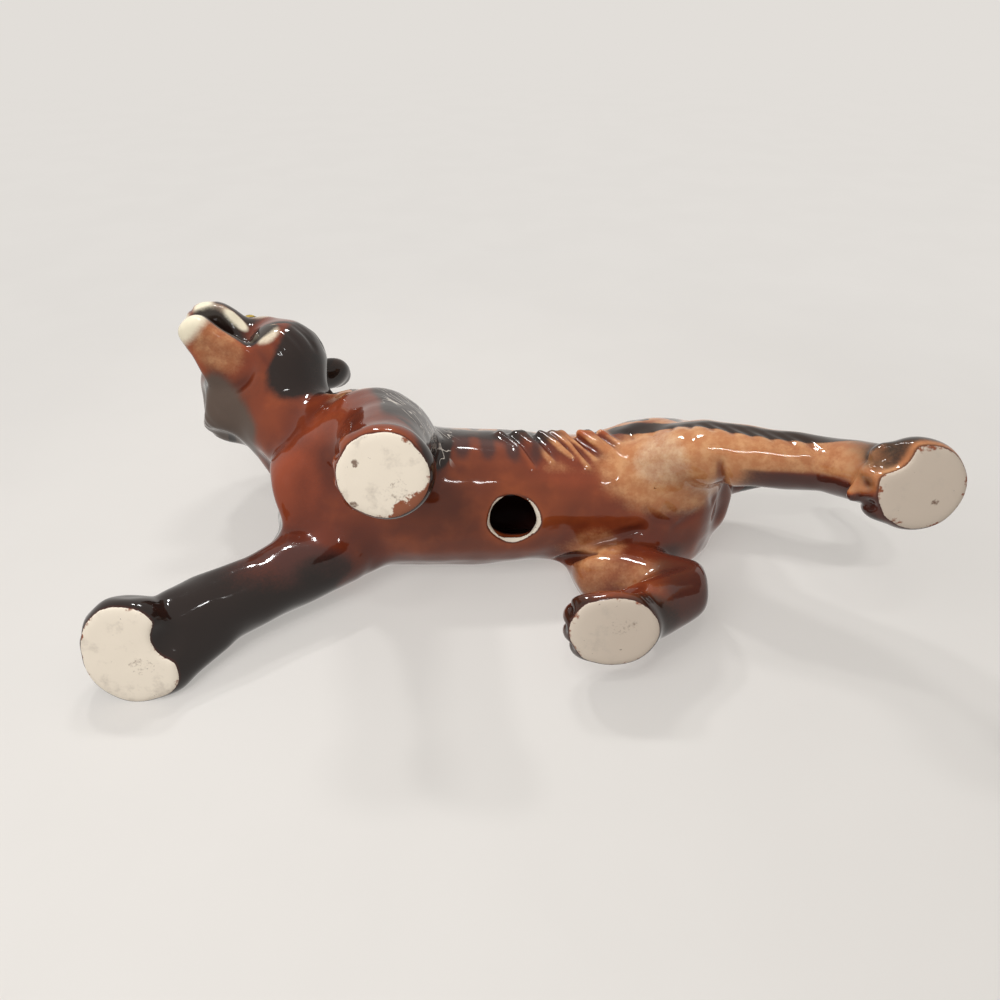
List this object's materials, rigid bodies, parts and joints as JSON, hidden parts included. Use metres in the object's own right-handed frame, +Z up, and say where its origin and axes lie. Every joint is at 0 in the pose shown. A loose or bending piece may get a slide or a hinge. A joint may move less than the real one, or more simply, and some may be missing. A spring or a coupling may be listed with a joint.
{
  "type": "tiger figurine",
  "caption": "Glazed hollow ceramic tiger figurine striding on flat unglazed soles, with its head turned left, its mouth open and a firing vent in its belly.",
  "frame": {"origin": "on the ground, under the middle of the part's bounding box", "axes": "+Z up from the soles, +X along the body towards the tail, -X the way the tiger walks, -Y its left side"},
  "size_m": [0.2928, 0.1314, 0.136],
  "materials": {
    "glaze_brown": "glossy red-brown airbrushed glaze",
    "glaze_tan": "glossy tan airbrushed glaze",
    "glaze_black": "glossy brown-black airbrushed glaze",
    "glaze_cream": "glossy cream glaze",
    "slip": "fired slip between the castings"
  },
  "bodies": {
    "root": {"torso": "glaze_brown", "front_left_leg": "glaze_brown", "front_left_slip_joint": "slip", "front_right_leg": "glaze_brown", "front_right_slip_joint": "slip", "rear_left_leg": "glaze_tan", "rear_left_slip_joint": "slip", "rear_right_leg": "glaze_tan", "rear_right_slip_joint": "slip", "tail": "glaze_black", "tail_slip_joint": "slip", "head": "glaze_black", "neck_slip_joint": "slip", "lower_jaw": "glaze_cream", "jaw_slip_joint": "slip", "left_ear": "glaze_black", "left_ear_slip_joint": "slip", "right_ear": "glaze_black", "right_ear_slip_joint": "slip"}
  },
  "joints": []
}
